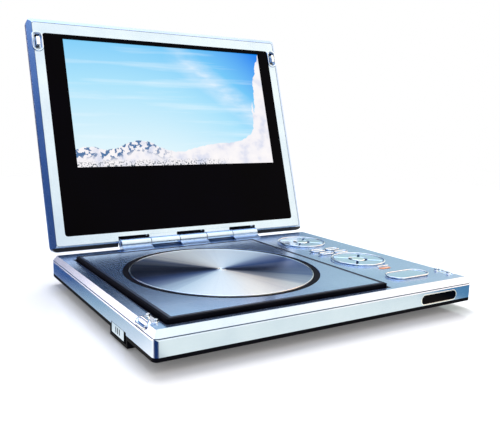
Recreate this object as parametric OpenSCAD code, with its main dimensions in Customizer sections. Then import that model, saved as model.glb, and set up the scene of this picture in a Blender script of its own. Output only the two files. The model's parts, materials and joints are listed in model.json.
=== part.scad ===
// Portable disc player: a base with a disc bay and keys, and a screen lid on a barrel hinge.
// The whole object stands on its feet at z = 0, with the middle of its open footprint at the
// origin. Base modules are drawn about the middle of the base. Screen modules are drawn about
// the hinge axis: X along the hinge, Y up the screen, Z out of its front.

/* [Base] */
// Width of the base
base_w = 193; // [190:1:196]
// Depth of the base, front to back
base_d = 151; // [150:0.5:153]
// Height of the base's top face over the table
base_top = 18; // [18:0.1:18.4]
// Height of the base's overhanging edge over the table
rim_z = 5; // [4.8:0.1:5.2]
// Height of the black strip round the bottom edge
strip_h = 1.9; // [1.7:0.1:2.1]
// Drop of the sloped top edge
slope_h = 4; // [3.6:0.1:4.2]
// Inset of the sloped top edge at the front and back
slope_front = 3; // [2.6:0.1:3.2]
// Inset of the sloped top edge at the sides
slope_side = 2.2; // [2:0.1:2.6]
// Radius of the four upright corners
corner_r = 2.5; // [2:0.5:4]
// Thickness of the shells' side walls
wall = 1.8; // [1.6:0.1:1.8]
// Thickness of the base's top plate and floor
deck = 1.6; // [1.4:0.1:1.6]
// Height of the rubber feet
foot_h = 1.2; // [1:0.1:1.4]

/* [Disc bay] */
// Middle of the disc, right of the base's middle
disc_x = -24.4; // [-25:0.1:-24]
// Middle of the disc, behind the base's middle
disc_y = -6; // [-6.4:0.1:-5.8]
// Side of the square disc lid
lid_side = 125.6; // [125:0.2:126]
// Width of the black edge round the lid's silver plate
lid_edge = 1.5; // [1:0.1:1.6]
// Height of the disc lid over the base's top face
lid_rise = 2; // [1.8:0.1:2.1]
// Thickness of the disc lid
lid_thick = 3; // [2.8:0.1:3]
// Gap round the disc lid
lid_gap = 0.8; // [0.4:0.1:0.9]
// Radius of the brushed round insert
insert_r = 50.7; // [50:0.1:52]
// Radius of the black ring round the insert
ring_r = 54.2; // [54:0.1:55]
// Radius of the disc well
well_r = 61; // [61:0.1:61.2]
// Height of the well's floor over the table
well_z = 12.2; // [12:0.1:12.4]
// Height at which the disc sits
disc_z = 13.4; // [13.2:0.1:13.6]

/* [Screen] */
// Width of the screen lid
lid_w = 193.2; // [190:0.2:194]
// Height of the screen lid
lid_h = 151.6; // [150:0.2:152.4]
// Radius of the screen lid's corners
lid_corner = 4.5; // [3:0.5:6]
// Thickness of the screen lid
lid_t = 8; // [8:0.1:8.6]
// Lean of the open screen behind the vertical
lid_tilt = 18; // [14:1:22]
// Width of the black front mask
mask_w = 174.8; // [174:0.2:175]
// Height of the black front mask
mask_h = 132.5; // [132:0.1:133]
// Width of the picture
lcd_w = 153.2; // [152:0.2:154]
// Height of the picture
lcd_h = 86.1; // [85:0.1:87]

/* [Hinge] */
// Length of the barrel hinge
hinge_len = 105; // [104:1:106]
// Radius of the hinge barrel
barrel_r = 3.2; // [3:0.1:3.3]
// Radius of the steel hinge pin
hinge_pin_r = 1.2; // [1:0.1:1.4]
// Gap between neighbouring knuckles
knuckle_gap = 0.3; // [0.2:0.1:0.5]
// Radial running clearance of pins and shafts
run_gap = 0.05; // [0.03:0.01:0.09]

/* [Keys] */
// Radius of a round key cluster
cluster_r = 14.8; // [14:0.1:15]
// Height of the keys over the base's top face
key_proud = 0.8; // [0.6:0.1:0.9]
// Gap round each key
key_gap = 0.4; // [0.3:0.1:0.5]

/* [Hidden] */
$fn = 64;
cut = 1;                     // how far a cutting solid runs past a face
hair = 0.02;                 // clearance between pieces that are seated in one another
seam_z = rim_z + strip_h;
deck_z = base_top - deck;
tub_in = [7, 12];            // inset of the deep housing: sides, front
tub_back = 7;
tub_w = base_w - 2 * tub_in[0];
tub_d = base_d - tub_in[1] - tub_back;
tub_y = (tub_in[1] - tub_back) / 2;
floor_z = foot_h + deck;
feet_at = [[-72, -53], [72, -53], [-72, 57], [72, 57]];
foot_r = 5;
foot_pocket = 0.5;

hinge_y = base_d / 2 - 0.9;
hinge_z = base_top + 2.9;
face_z = -0.5;               // front face of the screen lid, from the hinge axis
edge_y = -1.15;              // bottom edge of the screen lid, from the hinge axis
split_z = face_z - lid_t / 2;
back_slope = 3;              // inset of the back cover's sloped edge
back_z = face_z - lid_t;
lid_mid = edge_y + lid_h / 2;
lcd_x = 2.4;
lcd_y = edge_y + 95.9;
notch_y = 5.2;               // top of the notch that clears the hinge
// The open screen reaches this far behind the base's middle
reach_y = hinge_y + (edge_y + lid_h - back_slope) * sin(lid_tilt) - back_z * cos(lid_tilt);
base_y = (base_d / 2 - reach_y) / 2;

knuckle_l = hinge_len / 5;
base_knuckles = [-2, 0, 2];
lid_knuckles = [-1, 1];

lid_top = base_top + lid_rise;
lid_under = lid_top - lid_thick;
plate_t = 0.8;
lid_corner_r = 1;
plate_corner_r = 0.6;
bay_side = lid_side + 2 * lid_gap;
lid_hinge_y = disc_y + lid_side / 2 + 2;
lid_hinge_z = base_top - 0.8;
lid_hinge_x = [disc_x - 50, disc_x + 50];
lug_r = 1.7;
lug_w = 8;
lug_pin_r = 0.8;
lug_pin_l = 13;
hook_x = disc_x + 47.4;
hook_y = disc_y - lid_side / 2 + 1.3;

board_z = 13.4;              // key board's underside
board_t = 1;
key_foot = board_z + board_t + 0.6;
nav_at = [67.4, 39.7];
play_at = [67, -16.5];
small_at = [[59.5, 12.5], [71.5, 12.5], [59.5, 4], [71.5, 4]];
small_size = [9, 3];
wide_at = [66.5, -56];
wide_size = [26, 11.5];
lamp_at = [67.5, -38.5];
lamp_size = [8, 3];
hub_r = 4.4;
slot_w = 1.2;

ir_x = 70.6;
ir_z = rim_z + 5;
ir_size = [26.5, 4.8];

hub_wall_r = 7.35;           // turntable's hub, for a disc's 15 mm hole
ball_r = 0.9;
ball_z = disc_z + 1;

mech_x0 = disc_x - 22;
mech_x1 = disc_x + 84;
mech_z = 9.4;
mech_t = 0.8;
window_x0 = disc_x + 18;
window_x1 = disc_x + 80;
window_d = 52;
rod_y = 21;
rod_z = 7.2;
rod_r = 1;
lens_x = disc_x + 24;
sled_x0 = lens_x - 3;
sled_l = 23;
screw_y = 14;
sled_motor_r = 2.6;
screw_r = 1;

jack_x = base_w / 2;
phone_y = [-6, 4];
jack_z = 10.3;
jack_r = 1.8;
av_y = 36;
dc_y = 49;
dial_at = [base_w / 2 - 8.4, 20];
dial_r = 8;
dial_z = 9.9;
dial_t = 2.8;
dial_post_r = 1.5;
speaker_at = [[71, -34], [71, -8]];
speaker_r = 11;

slider_y = -34.8;
slider_l = 15;
slider_h = 4.8;
slider_z = 2.9;
bump_y0 = -47;
bump_y1 = -25.5;

catch_x = 90.9;
catch_y = 134.5;
catch_size = [5, 10.8];
keeper_y = hinge_y - catch_y;

top_posts = [[-84, 63], [47, -58], [47, 63], [84, 63], [84, -58.5]];
tray_post = [-82, -58];
post_r = 3;
post_z = seam_z;
base_screw_r = 1.1;
head_r = 2.2;
head_h = 1.6;
lid_posts = [[-90.2, 18], [90.2, 18], [-90.2, 108], [90.2, 108]];
lid_post_r = 2.4;
lid_screw_r = 0.8;

silver = [0.66, 0.74, 0.84];
dark = [0.03, 0.03, 0.045];
steel = [0.62, 0.64, 0.67];
board_green = [0.06, 0.28, 0.16];

module on_base() { translate([0, base_y, 0]) children(); }
module on_screen() {
  translate([0, base_y + hinge_y, hinge_z]) rotate([90 - lid_tilt, 0, 0]) children();
}

module rounded(w, d, r) {
  square([w - 2 * r, d], center = true);
  square([w, d - 2 * r], center = true);
  for (i = [-1, 1], j = [-1, 1]) translate([i * (w / 2 - r), j * (d / 2 - r)]) circle(r = r);
}

module stadium(w, d) {
  square([w - d, d], center = true);
  for (i = [-1, 1]) translate([i * (w - d) / 2, 0]) circle(d = d);
}

module slab(w, d, r, z0, z1) { translate([0, 0, z0]) linear_extrude(z1 - z0) rounded(w, d, r); }
module block(x, y, z) {
  translate([x[0], y[0], z[0]]) cube([x[1] - x[0], y[1] - y[0], z[1] - z[0]]);
}
module rod_x(r, x0, x1, y, z) {
  translate([x0, y, z]) rotate([0, 90, 0]) cylinder(r = r, h = x1 - x0);
}
module post(at, r, z0, z1) { translate([at[0], at[1], z0]) cylinder(r = r, h = z1 - z0); }

module slope_outline(w, z0, z1, drop, inset) {
  a = w / 2;
  polygon([[-a - cut, z0 - cut], [a + cut, z0 - cut], [a + cut, z1 - drop], [a, z1 - drop],
    [a - inset, z1], [-a + inset, z1], [-a, z1 - drop], [-a - cut, z1 - drop]]);
}

// Block with rounded upright corners and flat slopes along its top edges
module sloped_block(w, d, r, z0, z1, drop, inset_x, inset_y) {
  intersection() {
    slab(w, d, r, z0, z1);
    rotate([90, 0, 0]) translate([0, 0, -d]) linear_extrude(2 * d)
      slope_outline(w, z0, z1, drop, inset_x);
    rotate([90, 0, 90]) translate([0, 0, -w]) linear_extrude(2 * w)
      slope_outline(d, z0, z1, drop, inset_y);
  }
}

// One round cluster's opening, and its four quarter keys and middle key
module cluster_quarter(at, turn, foot, top) {
  translate([at[0], at[1], foot]) rotate(turn) linear_extrude(top - foot) intersection() {
    difference() {
      circle(r = cluster_r);
      circle(r = hub_r + slot_w);
    }
    translate([slot_w * 0.7, 0]) polygon([[0, 0], [2 * cluster_r, -2 * cluster_r],
      [2 * cluster_r, 2 * cluster_r]]);
  }
}

module keeper_capsule(i, grow, z0, z1) {
  translate([i * catch_x, keeper_y, z0]) rotate(90) linear_extrude(z1 - z0)
    stadium(catch_size[1] + 2 * grow, catch_size[0] + 2 * grow);
}

module lid_hinge_ears(i) {
  for (s = [-1, 1]) {
    x0 = lid_hinge_x[i] + s * (lug_w / 2 + 0.3 + 1.2) - 1.2;
    rod_x(lug_r, x0, x0 + 2.4, lid_hinge_y, lid_hinge_z);
    block([x0, x0 + 2.4], [lid_hinge_y - lug_r, lid_hinge_y + lug_r], [deck_z - 1, lid_hinge_z]);
  }
}

// ---------- base shells ----------

module base_top_cover() {
  color(silver) on_base() difference() {
    union() {
      difference() {
        sloped_block(base_w, base_d, corner_r, seam_z, base_top, slope_h, slope_side, slope_front);
        slab(base_w - 2 * wall, base_d - 2 * wall, corner_r - wall, seam_z - cut, base_top - slope_h);
        slab(base_w - 2 * (wall + slope_side), base_d - 2 * (wall + slope_front), 1,
          seam_z, deck_z);
      }
      for (p = top_posts) post(p, post_r, post_z, deck_z + deck / 2);
      for (i = [0, 1]) lid_hinge_ears(i);
    }
    translate([disc_x, disc_y, 0]) slab(bay_side, bay_side, 1.6, deck_z - cut, base_top + cut);
    for (i = [0, 1]) {
      block([lid_hinge_x[i] - lug_w / 2 - 0.3, lid_hinge_x[i] + lug_w / 2 + 0.3],
        [lid_hinge_y - 3, lid_hinge_y + lug_r + 0.4], [deck_z - 2, base_top + cut]);
      rod_x(lug_pin_r + hair, lid_hinge_x[i] - lug_pin_l / 2, lid_hinge_x[i] + lug_pin_l / 2,
        lid_hinge_y, lid_hinge_z);
    }
    for (p = top_posts) post(p, base_screw_r + hair, post_z - cut, deck_z - 1.4);
    for (p = [nav_at, play_at]) post(p, cluster_r + key_gap, deck_z - cut, base_top + cut);
    for (p = small_at) translate([p[0], p[1], deck_z - cut]) linear_extrude(deck + 2 * cut)
      stadium(small_size[0] + 2 * key_gap, small_size[1] + 2 * key_gap);
    translate([wide_at[0], wide_at[1], deck_z - cut]) linear_extrude(deck + 2 * cut)
      stadium(wide_size[0] + 2 * key_gap, wide_size[1] + 2 * key_gap);
    translate([lamp_at[0], lamp_at[1], deck_z - cut]) linear_extrude(deck + 2 * cut)
      stadium(lamp_size[0] + 2 * hair, lamp_size[1] + 2 * hair);
    for (i = [-1, 1]) keeper_capsule(i, hair, deck_z + 0.4, base_top + cut);
    translate([ir_x, -base_d / 2 + wall / 2, ir_z]) rotate([90, 0, 0])
      linear_extrude(4 * wall, center = true) stadium(ir_size[0] + 2 * hair, ir_size[1] + 2 * hair);
    block([-base_w / 2 - cut, -base_w / 2 + 2 * wall], [bump_y0 + 1.4, bump_y1 - 1.4],
      [seam_z - cut, slider_z + slider_h + 0.4]);
    for (y = phone_y) rod_x(3.1, jack_x - 4, jack_x + cut, y, jack_z);
    for (y = [av_y, dc_y]) rod_x(3.3, jack_x - 4, jack_x + cut, y, jack_z);
    post(dial_at, dial_r + 0.6, dial_z - 0.4, dial_z + dial_t + 0.4);
  }
}

module base_bottom_cover() {
  color(dark) on_base() difference() {
    union() {
      slab(base_w, base_d, corner_r, rim_z, seam_z);
      translate([0, tub_y, 0]) slab(tub_w, tub_d, 6, foot_h, seam_z);
      block([-base_w / 2, -base_w / 2 + tub_in[0] + 2], [bump_y0, bump_y1], [rim_z - 4, seam_z]);
      post(dial_at, dial_post_r, floor_z, dial_z + dial_t);
    }
    difference() {
      translate([0, tub_y, 0])
        slab(tub_w - 2 * wall, tub_d - 2 * wall, 6 - wall, floor_z, seam_z + cut);
      for (p = concat(top_posts, [tray_post])) post(p, post_r, 0, post_z);
      post(dial_at, dial_post_r, 0, post_z);
    }
    for (p = concat(top_posts, [tray_post])) {
      post(p, base_screw_r + 0.3, 0, post_z + cut);
      post(p, head_r + 0.2, 0, foot_h + 2);
    }
    for (p = feet_at) post(p, foot_r + hair, 0, foot_h + foot_pocket);
    block([-base_w / 2 - cut, -base_w / 2 + 3.4], [bump_y0 + 1.4, bump_y1 - 1.4],
      [slider_z - 0.4, seam_z + cut]);
    for (p = speaker_at, k = [-3:3])
      translate([p[0], p[1] + 2.6 * k, 0]) linear_extrude(10)
        stadium(2 * sqrt(pow(speaker_r - 2, 2) - pow(2.6 * k, 2)), 1.2);
  }
}

module rubber_feet() {
  color([0.1, 0.1, 0.11]) on_base() for (p = feet_at) post(p, foot_r, 0, foot_h + foot_pocket);
}

module base_screws() {
  color(steel) on_base() for (p = concat(top_posts, [tray_post])) difference() {
    union() {
      post(p, head_r, foot_h + 2 - head_h, foot_h + 2);
      post(p, base_screw_r, foot_h + 2, deck_z - 2.5);
    }
    translate([p[0], p[1], foot_h]) cube([0.6, 2.6, 2], center = true);
    translate([p[0], p[1], foot_h]) cube([2.6, 0.6, 2], center = true);
  }
}

module ir_window() {
  color([0.02, 0.02, 0.03]) on_base() translate([ir_x, -base_d / 2 + wall / 2, ir_z])
    rotate([90, 0, 0]) linear_extrude(wall + 0.2, center = true) stadium(ir_size[0], ir_size[1]);
}

module catch_keepers() {
  color([0.8, 0.84, 0.9]) on_base() for (i = [-1, 1]) {
    intersection() {
      keeper_capsule(i, 0, deck_z + 0.4, base_top + 0.2);
      sloped_block(base_w, base_d, corner_r, seam_z, base_top + 0.2, slope_h, slope_side, slope_front);
    }
    for (j = [-1, 1]) post([i * (catch_x - 0.5), keeper_y + j * 4.1], 0.9, base_top, base_top + 1.3);
  }
}

module indicator_lens() {
  color([0.9, 0.4, 0.15]) on_base() translate([lamp_at[0], lamp_at[1], deck_z - 0.6])
    linear_extrude(deck + 0.9) stadium(lamp_size[0], lamp_size[1]);
}

// ---------- disc bay ----------

module disc_well() {
  wall_r = well_r + 1;
  color([0.12, 0.12, 0.14]) on_base() difference() {
    union() {
      translate([disc_x, disc_y, 0]) slab(bay_side + 5, bay_side + 5, 4, deck_z - 1.2, deck_z);
      post([disc_x, disc_y], wall_r, well_z - 1, deck_z);
      post(tray_post, post_r, post_z, deck_z);
    }
    post([disc_x, disc_y], well_r, well_z, deck_z + cut);
    post([disc_x, disc_y], 16.5, well_z - 2, well_z + cut);
    block([disc_x + 12, disc_x + 60], [disc_y - 11, disc_y + 11], [well_z - 2, well_z + cut]);
    post(tray_post, base_screw_r + hair, post_z - cut, deck_z - 1.4);
    block([hook_x - 3.8, hook_x + 3.8], [hook_y - 1.4, hook_y + 1.4], [well_z, deck_z + cut]);
    block([disc_x - lid_side / 2 - 4, 48], [-base_d / 2, -base_d / 2 + wall + slope_front + 0.2],
      [well_z, deck_z + cut]);
    for (i = [0, 1]) block([lid_hinge_x[i] - 8, lid_hinge_x[i] + 8],
      [lid_hinge_y - 3.2, lid_hinge_y + 6], [well_z, deck_z + cut]);
    for (p = top_posts) post(p, post_r + 0.3, post_z, deck_z + cut);
  }
}

module disc_lid_frame() {
  color(dark) on_base() difference() {
    union() {
      translate([disc_x, disc_y, 0]) slab(lid_side, lid_side, lid_corner_r, lid_under, lid_top);
      for (x = lid_hinge_x) {
        rod_x(lug_r, x - lug_w / 2, x + lug_w / 2, lid_hinge_y, lid_hinge_z);
        block([x - lug_w / 2, x + lug_w / 2], [disc_y + lid_side / 2 - 1, lid_hinge_y],
          [lid_under, lid_hinge_z + lug_r - 0.1]);
      }
      block([hook_x - 3, hook_x + 3], [hook_y - 0.7, hook_y + 0.7], [well_z + 0.5, lid_under + 0.2]);
    }
    difference() {
      plate_side = lid_side - 2 * lid_edge;
      translate([disc_x, disc_y, 0])
        slab(plate_side, plate_side, plate_corner_r, lid_top - plate_t, lid_top + cut);
      post([disc_x, disc_y], ring_r, 0, lid_top - 0.3);
    }
    post([disc_x, disc_y], insert_r + hair, lid_top - plate_t, lid_top + cut);
    for (x = lid_hinge_x)
      rod_x(lug_pin_r + run_gap, x - lug_w, x + lug_w, lid_hinge_y, lid_hinge_z);
    block([hook_x + 1.6, hook_x + 3 + cut], [hook_y - 1, hook_y + 1], [well_z + 1.4, well_z + 2.8]);
  }
}

module disc_lid_plate() {
  plate_side = lid_side - 2 * lid_edge - 2 * hair;
  color(silver) on_base() difference() {
    translate([disc_x, disc_y, 0])
      slab(plate_side, plate_side, plate_corner_r, lid_top - plate_t, lid_top + 0.1);
    post([disc_x, disc_y], ring_r + hair, 0, lid_top + cut);
  }
}

module disc_lid_insert() {
  color([0.75, 0.8, 0.88]) on_base() difference() {
    post([disc_x, disc_y], insert_r, lid_top - plate_t, lid_top + 0.1);
    post([disc_x, disc_y], 1.6, lid_top - 0.3, lid_top + cut);
  }
}

module disc_lid_pins() {
  color(steel) on_base() for (x = lid_hinge_x)
    rod_x(lug_pin_r, x - lug_pin_l / 2 + 0.1, x + lug_pin_l / 2 - 0.1, lid_hinge_y, lid_hinge_z);
}

module lid_catch() {
  z = [well_z + 1.6, well_z + 2.6];
  color([0.85, 0.85, 0.8]) on_base() {
    block([hook_x + 1.9, 56], [hook_y - 0.6, hook_y + 0.6], z);
    block([54, 56], [hook_y, wide_at[1] - 6.4], z);
  }
}

// ---------- drive ----------

module turntable() {
  color([0.15, 0.15, 0.17]) on_base() difference() {
    union() {
      post([disc_x, disc_y], 14, well_z - 0.8, disc_z);
      post([disc_x, disc_y], hub_wall_r, disc_z, disc_z + 2);
      translate([disc_x, disc_y, disc_z + 2]) cylinder(r1 = hub_wall_r, r2 = 6.2, h = 0.8);
    }
    post([disc_x, disc_y], screw_r + hair, 0, disc_z + 3);
    for (a = [0, 120, 240]) translate([disc_x, disc_y, ball_z]) rotate([0, 90, a])
      translate([0, 0, 5]) cylinder(r = ball_r + run_gap, h = 4);
  }
}

module chuck_balls() {
  color(steel) on_base() for (a = [0, 120, 240])
    translate([disc_x, disc_y, ball_z]) rotate(a) translate([hub_wall_r + 0.1 - ball_r, 0, 0])
      sphere(r = ball_r, $fn = 32);
}

module spindle_shaft() {
  color(steel) on_base() post([disc_x, disc_y], screw_r, 4.6, disc_z + 2.4);
}

module spindle_motor() {
  color([0.55, 0.57, 0.6]) on_base() difference() {
    post([disc_x, disc_y], 11.5, 3.4, mech_z);
    post([disc_x, disc_y], screw_r + run_gap, 4.4, mech_z + cut);
  }
}

module mech_chassis() {
  color([0.5, 0.52, 0.55]) on_base() difference() {
    union() {
      block([mech_x0, mech_x1], [disc_y - 32, disc_y + 32], [mech_z, mech_z + mech_t]);
      for (x = [window_x0 - 1.6, window_x1]) block([x, x + 1.6],
        [disc_y - window_d / 2, disc_y + window_d / 2], [rod_z - 2.2, mech_z]);
    }
    block([window_x0, window_x1], [disc_y - window_d / 2, disc_y + window_d / 2],
      [mech_z - cut, mech_z + mech_t + cut]);
    post([disc_x, disc_y], screw_r + 1, 0, 20);
    for (s = [-1, 1])
      rod_x(rod_r + hair, window_x0 - 3, window_x1 + 3, disc_y + s * rod_y, rod_z);
    rod_x(screw_r + run_gap, window_x0 - 3, window_x1 + 3, disc_y + screw_y, rod_z);
  }
}

module guide_rods() {
  color(steel) on_base() for (s = [-1, 1])
    rod_x(rod_r, window_x0 - 1.6, window_x1 + 1.6, disc_y + s * rod_y, rod_z);
}

module lead_screw() {
  color([0.7, 0.6, 0.35]) on_base() {
    rod_x(screw_r, window_x0 - 2.6, window_x1 + 1.4, disc_y + screw_y, rod_z);
    for (i = [0:22]) rod_x(screw_r + 0.35, window_x0 + 2 + 2.5 * i, window_x0 + 3.2 + 2.5 * i,
      disc_y + screw_y, rod_z);
  }
}

module sled_motor() {
  color([0.6, 0.6, 0.62]) on_base() difference() {
    rod_x(sled_motor_r, window_x0 - 11, window_x0 - 2.2, disc_y + screw_y, rod_z - 0.6);
    rod_x(screw_r + run_gap, window_x0 - 2.8, window_x0, disc_y + screw_y, rod_z);
  }
}

module pickup_sled() {
  color([0.08, 0.08, 0.09]) on_base() difference() {
    union() {
      block([sled_x0, sled_x0 + sled_l], [disc_y - 10, disc_y + 10], [5.2, 10.6]);
      block([sled_x0, sled_x0 + sled_l], [disc_y - rod_y - 2.5, disc_y - 9], [5.4, 9.2]);
      block([sled_x0, sled_x0 + 10], [disc_y + 9, disc_y + rod_y + 2.5], [5.4, 9.2]);
    }
    for (s = [-1, 1]) rod_x(rod_r + run_gap, 0 - base_w, base_w, disc_y + s * rod_y, rod_z);
    rod_x(screw_r + 0.6, 0 - base_w, base_w, disc_y + screw_y, rod_z);
    post([lens_x, disc_y], 2.6, 9.4, 12);
  }
}

module pickup_lens() {
  color([0.4, 0.5, 0.8]) on_base() {
    post([lens_x, disc_y], 2.5, 9.4, 11);
    translate([lens_x, disc_y, 11]) cylinder(r1 = 2.1, r2 = 1.2, h = 0.7);
  }
}

// ---------- electronics and power ----------

module main_board() {
  color(board_green) on_base() {
    block([-72, 80], [27, 58], [4.6, 5.6]);
    for (x = [-56, -30, 4, 34, 60]) block([x, x + 12], [36, 48], [5.6, 7.2]);
    for (x = [-66 : 14 : 60]) block([x, x + 3], [30, 32], [5.6, 6.6]);
  }
}

module key_board() {
  color(board_green) on_base() difference() {
    block([44.5, 91], [-66, 57], [board_z, board_z + board_t]);
    post([47, -58], post_r + 1, 0, 20);
    post([84, -58.5], post_r + 1, 0, 20);
    block([40, 58], [-70, wide_at[1] - 5], [board_z - cut, board_z + 2]);
  }
}

module battery_pack() {
  color([0.2, 0.3, 0.55]) on_base() for (i = [0, 1])
    translate([-48 + 46 * i, -50, 0]) slab(44, 20, 3, 3.2, 10.2);
}

module speakers() {
  color([0.18, 0.18, 0.2]) on_base() for (p = speaker_at) difference() {
    post(p, speaker_r, floor_z, floor_z + 5.6);
    post(p, speaker_r - 1.6, floor_z - cut, floor_z + 1);
    translate([p[0], p[1], floor_z + 1 - hair]) cylinder(r1 = speaker_r - 2.6, r2 = 4, h = 2);
  }
}

module side_jack(y, body, bore_r) {
  difference() {
    block([jack_x - wall - 11, jack_x - wall], [y - body, y + body], [jack_z - 3, jack_z + 3]);
    rod_x(bore_r, jack_x - 11, jack_x, y, jack_z);
  }
}

module headphone_jacks() {
  color([0.1, 0.1, 0.11]) on_base() for (y = phone_y) side_jack(y, 3.4, jack_r);
}

module av_jack() {
  color([0.75, 0.65, 0.2]) on_base() side_jack(av_y, 4.6, jack_r);
}

module dc_inlet() {
  color([0.1, 0.1, 0.11]) on_base() {
    side_jack(dc_y, 4, 2.7);
    rod_x(0.65, jack_x - 11, jack_x - wall - 0.6, dc_y, jack_z);
  }
}

// ---------- controls ----------

module volume_dial() {
  color([0.12, 0.12, 0.13]) on_base() difference() {
    post(dial_at, dial_r, dial_z, dial_z + dial_t - 0.3);
    post(dial_at, dial_post_r + run_gap, 0, 20);
    for (a = [0 : 15 : 345]) translate([dial_at[0], dial_at[1], 0]) rotate(a)
      translate([dial_r + 0.2, 0, 0]) cylinder(r = 0.5, h = 20, $fn = 24);
  }
}

module power_slider() {
  x0 = -base_w / 2 + 0.2;
  color([0.72, 0.77, 0.84]) on_base() difference() {
    union() {
      block([x0, x0 + 1.6], [slider_y - slider_l / 2, slider_y + slider_l / 2],
        [slider_z, slider_z + slider_h]);
      block([x0 + 1.6, x0 + 3], [slider_y - 2, slider_y + 2], [slider_z + 1, slider_z + 3.6]);
    }
    for (i = [-1:1]) block([x0 - cut, x0 + 0.5],
      [slider_y + 2.2 * i - 0.5, slider_y + 2.2 * i + 0.5], [slider_z + 0.9, slider_z + slider_h - 0.9]);
  }
}

module quarter_key(at, turn) {
  color(silver) on_base() cluster_quarter(at, turn, key_foot, base_top + key_proud);
}
module middle_key(at) {
  color(silver) on_base() post(at, hub_r, key_foot, base_top + key_proud + 0.3);
}
module nav_right() { quarter_key(nav_at, 0); }
module nav_up() { quarter_key(nav_at, 90); }
module nav_left() { quarter_key(nav_at, 180); }
module nav_down() { quarter_key(nav_at, 270); }
module nav_ok() { middle_key(nav_at); }
module play_next() { quarter_key(play_at, 0); }
module play_pause() { quarter_key(play_at, 90); }
module play_back() { quarter_key(play_at, 180); }
module play_stop() { quarter_key(play_at, 270); }
module play_mode() { middle_key(play_at); }

module small_key(i) {
  color(silver) on_base() translate([small_at[i][0], small_at[i][1], key_foot])
    linear_extrude(base_top + key_proud - key_foot) stadium(small_size[0], small_size[1]);
}
module setup_key() { small_key(0); }
module display_key() { small_key(1); }
module menu_key() { small_key(2); }
module audio_key() { small_key(3); }

module open_key() {
  color(silver) on_base() translate([wide_at[0], wide_at[1], key_foot])
    linear_extrude(base_top + key_proud - key_foot) stadium(wide_size[0], wide_size[1]);
}

// ---------- main hinge ----------

module knuckle(i, hole_r) {
  gap = knuckle_gap / 2;
  x = i * knuckle_l;
  difference() {
    union() {
      rod_x(barrel_r, x - knuckle_l / 2 + gap, x + knuckle_l / 2 - gap, 0, 0);
      children();
    }
    rod_x(hole_r, x - knuckle_l, x + knuckle_l, 0, 0);
  }
}

module hinge_base_knuckles() {
  foot_y = base_d / 2 - slope_front;
  color(silver) on_base() translate([0, hinge_y, hinge_z]) for (i = base_knuckles)
    knuckle(i, hinge_pin_r + hair)
      translate([i * knuckle_l - knuckle_l / 2 + knuckle_gap / 2, -hinge_y, -hinge_z])
        rotate([90, 0, 90]) linear_extrude(knuckle_l - knuckle_gap)
          polygon([[foot_y - 6, base_top], [foot_y, base_top],
            [foot_y + slope_front * 0.8, base_top - slope_h * 0.8], [hinge_y + 1.9, hinge_z - 2.5],
            [hinge_y, hinge_z], [hinge_y - 3, hinge_z - 0.9]]);
}

module hinge_lid_knuckles() {
  color(silver) on_screen() for (i = lid_knuckles) knuckle(i, hinge_pin_r + run_gap)
    block([i * knuckle_l - knuckle_l / 2 + knuckle_gap / 2, i * knuckle_l + knuckle_l / 2 - knuckle_gap / 2],
      [0, notch_y], [split_z - 1.5, face_z]);
}

module hinge_pin() {
  color(steel) on_base() rod_x(hinge_pin_r, -hinge_len / 2 + 1, hinge_len / 2 - 1, hinge_y, hinge_z);
}

// ---------- screen lid ----------

module lid_half(z0, z1, drop, inset) {
  translate([0, lid_mid, 0]) sloped_block(lid_w, lid_h, lid_corner, z0, z1, drop, inset, inset);
}

module hinge_notch(grow) {
  block([-hinge_len / 2 - 0.5 - grow, hinge_len / 2 + 0.5 + grow], [edge_y - cut, notch_y + grow],
    [back_z - cut, face_z + cut]);
}

module screen_bezel() {
  mask_mid = edge_y + 9 + mask_h / 2;
  color(silver) on_screen() difference() {
    union() {
      difference() {
        lid_half(split_z, face_z, 2.4, 3.2);
        difference() {
          translate([0, lid_mid, 0])
            slab(lid_w - 2 * wall, lid_h - 2 * wall, lid_corner - wall, split_z - cut, face_z - 2.4);
          hinge_notch(deck);
        }
      }
      for (p = lid_posts) post(p, lid_post_r, split_z, face_z - 2.2);
    }
    hinge_notch(0);
    translate([0, mask_mid, 0]) {
      slab(mask_w + 2 * hair, mask_h + 2 * hair, 2, face_z - 1.6, face_z + cut);
      slab(mask_w - 3, mask_h - 3, 1.5, face_z - 3, face_z);
    }
    for (p = lid_posts) post(p, lid_screw_r + hair, split_z - cut, face_z - 2);
    for (i = [-1, 1]) translate([i * catch_x, catch_y, face_z - 1.2]) rotate(90)
      linear_extrude(4) stadium(catch_size[1], catch_size[0]);
    for (i = [-1, 1]) block([i * catch_x - 1.4, i * catch_x + 1.4], [catch_y - 3.6, catch_y + 4.4],
      [split_z, face_z]);
  }
}

module screen_back_cover() {
  color(silver) on_screen() difference() {
    union() {
      difference() {
        translate([0, lid_mid, 2 * split_z]) mirror([0, 0, 1])
          translate([0, -lid_mid, 0]) lid_half(split_z, face_z, 2.6, back_slope);
        difference() {
          translate([0, lid_mid, 0]) slab(lid_w - 2 * (wall + 1.4), lid_h - 2 * (wall + 1.4),
            lid_corner - wall, back_z + 1.5, split_z + cut);
          hinge_notch(deck);
        }
      }
      for (p = lid_posts) post(p, lid_post_r, back_z + 1, split_z);
    }
    hinge_notch(0);
    for (p = lid_posts) {
      post(p, lid_screw_r + 0.2, back_z - cut, face_z);
      post(p, 1.7, back_z - cut, back_z + 1.2);
    }
  }
}

module screen_screws() {
  color(steel) on_screen() for (p = lid_posts) difference() {
    union() {
      post(p, 1.5, back_z + 0.2, back_z + 1.2);
      post(p, lid_screw_r, back_z + 1.2, face_z - 2.6);
    }
    translate([p[0], p[1], back_z]) cube([0.5, 1.8, 1.2], center = true);
    translate([p[0], p[1], back_z]) cube([1.8, 0.5, 1.2], center = true);
  }
}

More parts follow.
